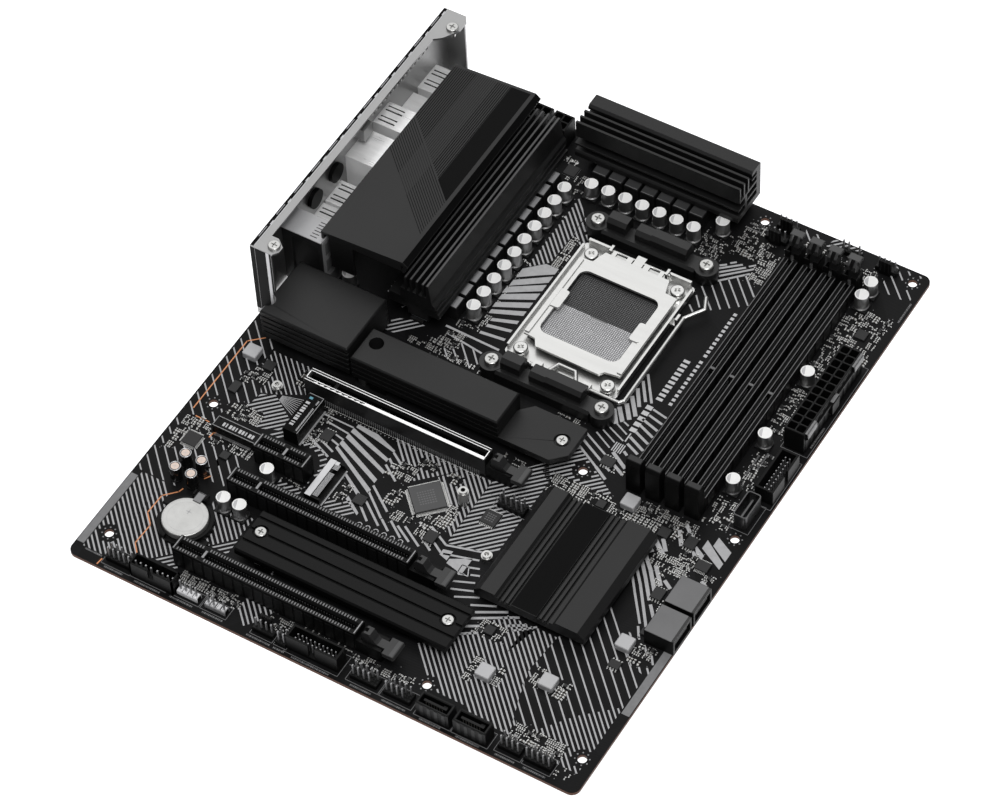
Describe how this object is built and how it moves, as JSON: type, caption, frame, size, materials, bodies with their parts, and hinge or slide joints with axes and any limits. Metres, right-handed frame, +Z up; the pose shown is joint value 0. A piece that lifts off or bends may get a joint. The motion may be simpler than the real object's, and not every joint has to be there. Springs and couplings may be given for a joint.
{
  "type": "computer motherboard",
  "caption": "Full-size black computer motherboard with finned heat sinks, open processor socket, memory and expansion slots, power and data headers and a steel rear connector plate.",
  "frame": {"origin": "centre of the rear-bottom mounting hole on the underside of the circuit board", "axes": "+X from the rear connector edge to the front edge, +Y from the bottom edge to the top edge, +Z up out of the component side"},
  "size_m": [0.248, 0.307, 0.047],
  "materials": {
    "board_laminate": "matte solder mask",
    "socket_plastic": "moulded",
    "contact_gold": "gold plated",
    "socket_steel": "satin nickel",
    "black_steel": "black zinc",
    "black_plastic": "moulded",
    "screw_nickel": "nickel plated",
    "black_aluminium": "black anodised",
    "thermal_pad": "soft pad",
    "choke_ferrite": "pressed ferrite",
    "capacitor_can": "satin can",
    "audio_capacitor": "sleeved can",
    "port_shell": "bright nickel",
    "battery_steel": "satin",
    "jack_plastic": "moulded",
    "button_plastic": "moulded",
    "shield_steel": "satin nickel",
    "chip_epoxy": "moulded epoxy"
  },
  "bodies": {
    "board": {"antenna_plugs": "black_plastic", "atx_power_connector": "black_plastic", "audio_capacitors": "audio_capacitor", "audio_jack_stack": "jack_plastic", "battery_holder": "black_plastic", "chipset_heatsink": "black_aluminium", "cooler_bracket_screws": "screw_nickel", "cooler_brackets": "black_plastic", "cover_screws": "screw_nickel", "cpu_power_connectors": "black_plastic", "dimm_slot_1": "black_plastic", "dimm_slot_2": "black_plastic", "dimm_slot_3": "black_plastic", "dimm_slot_4": "black_plastic", "fan_headers": "black_plastic", "header_pins": "contact_gold", "ic_packages": "chip_epoxy", "io_shield": "shield_steel", "lan_usb_stack": "port_shell", "m2_end_plate": "black_aluminium", "m2_heatsink_lower": "black_aluminium", "m2_heatsink_rear": "black_aluminium", "m2_heatsink_upper": "black_aluminium", "m2_sockets": "black_plastic", "m2_standoffs": "screw_nickel", "pcb": "board_laminate", "pcie_steel_shell": "socket_steel", "pcie_x16_slot_1": "black_plastic", "pcie_x16_slot_2": "black_plastic", "pcie_x16_slot_3": "black_plastic", "pcie_x1_slot": "black_plastic", "pin_headers": "black_plastic", "polymer_capacitors": "capacitor_can", "power_chokes": "choke_ferrite", "power_inductors": "choke_ferrite", "rear_io_cover": "black_aluminium", "sata_connectors": "black_plastic", "socket_backplate": "black_steel", "socket_contacts": "contact_gold", "socket_frame": "socket_steel", "socket_housing": "socket_plastic", "socket_screws": "socket_steel", "thermal_pads": "thermal_pad", "usb3_headers": "black_plastic", "usb_c_header": "port_shell", "usb_stacks": "port_shell", "video_port": "port_shell", "vrm_heatsink_rear": "black_aluminium", "vrm_heatsink_top": "black_aluminium"},
    "lever": {"socket_lever": "socket_steel"},
    "load_plate": {"socket_load_plate": "socket_steel"},
    "battery_cell": {"battery": "battery_steel"},
    "flash_button_cap": {"flash_button": "button_plastic"},
    "dimm_latch_1": {"dimm_latch_1": "black_plastic"},
    "dimm_latch_2": {"dimm_latch_2": "black_plastic"},
    "dimm_latch_3": {"dimm_latch_3": "black_plastic"},
    "dimm_latch_4": {"dimm_latch_4": "black_plastic"},
    "pcie_latch_1": {"pcie_latch_1": "black_plastic"},
    "pcie_latch_2": {"pcie_latch_2": "black_plastic"},
    "pcie_latch_3": {"pcie_latch_3": "black_plastic"}
  },
  "joints": [
    {"name": "socket_lever_hinge", "type": "hinge", "parent": "board", "child": "lever", "pos_m": [0.12104, 0.16079, 0.005], "axis": [1, 0, 0], "range_deg": [0, 105]},
    {"name": "load_plate_hinge", "type": "hinge", "parent": "board", "child": "load_plate", "pos_m": [0.12104, 0.23149, 0.0062], "axis": [-1, 0, 0], "range_deg": [0, 110]},
    {"name": "dimm_latch_1_hinge", "type": "hinge", "parent": "board", "child": "dimm_latch_1", "pos_m": [0.17854, 0.26749, 0.0058], "axis": [-1, 0, 0], "range_deg": [0, 25]},
    {"name": "dimm_latch_2_hinge", "type": "hinge", "parent": "board", "child": "dimm_latch_2", "pos_m": [0.18784, 0.26749, 0.0058], "axis": [-1, 0, 0], "range_deg": [0, 25]},
    {"name": "dimm_latch_3_hinge", "type": "hinge", "parent": "board", "child": "dimm_latch_3", "pos_m": [0.19704, 0.26749, 0.0058], "axis": [-1, 0, 0], "range_deg": [0, 25]},
    {"name": "dimm_latch_4_hinge", "type": "hinge", "parent": "board", "child": "dimm_latch_4", "pos_m": [0.20634, 0.26749, 0.0058], "axis": [-1, 0, 0], "range_deg": [0, 25]},
    {"name": "pcie_latch_1_hinge", "type": "hinge", "parent": "board", "child": "pcie_latch_1", "pos_m": [0.12734, 0.10499, 0.006], "axis": [0, 1, 0], "range_deg": [0, 20]},
    {"name": "pcie_latch_2_hinge", "type": "hinge", "parent": "board", "child": "pcie_latch_2", "pos_m": [0.12734, 0.04459, 0.006], "axis": [0, 1, 0], "range_deg": [0, 20]},
    {"name": "pcie_latch_3_hinge", "type": "hinge", "parent": "board", "child": "pcie_latch_3", "pos_m": [0.12734, 0.00389, 0.006], "axis": [0, 1, 0], "range_deg": [0, 20]},
    {"name": "battery_lift", "type": "slide", "parent": "board", "child": "battery_cell", "axis": [0, 0, 1], "range_m": [0, 0.008]},
    {"name": "flash_button_press", "type": "slide", "parent": "board", "child": "flash_button_cap", "axis": [1, 0, 0], "range_m": [0, 0.0012], "stiffness_N_per_m": 600, "springref_m": -0.0003}
  ]
}
